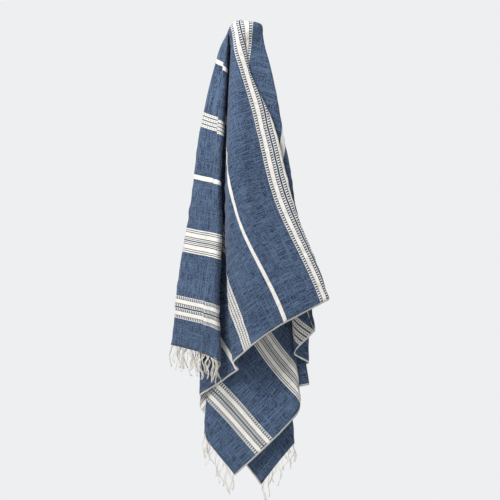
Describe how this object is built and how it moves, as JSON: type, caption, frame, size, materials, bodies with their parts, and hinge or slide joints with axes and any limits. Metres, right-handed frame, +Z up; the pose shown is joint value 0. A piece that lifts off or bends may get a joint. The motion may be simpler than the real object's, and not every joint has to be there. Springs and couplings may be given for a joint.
{
  "type": "hand-loomed bath towel hung from one hook",
  "caption": "A flat-woven blue cotton bath towel with cream bands and a fringe at each end, hanging in long folds from one point",
  "frame": {"origin": "the top of the cloth, where it lies over the hook", "axes": "+X to the right as seen from the front, +Y towards the wall, +Z up"},
  "size_m": [0.4158, 0.1403, 1.3027],
  "materials": {
    "cloth": "flat woven cotton, blue with cream bands",
    "yarn": "undyed cotton yarn"
  },
  "bodies": {
    "root": {"cloth": "cloth", "fringe_left_end": "yarn", "fringe_right_end": "yarn"}
  },
  "joints": []
}
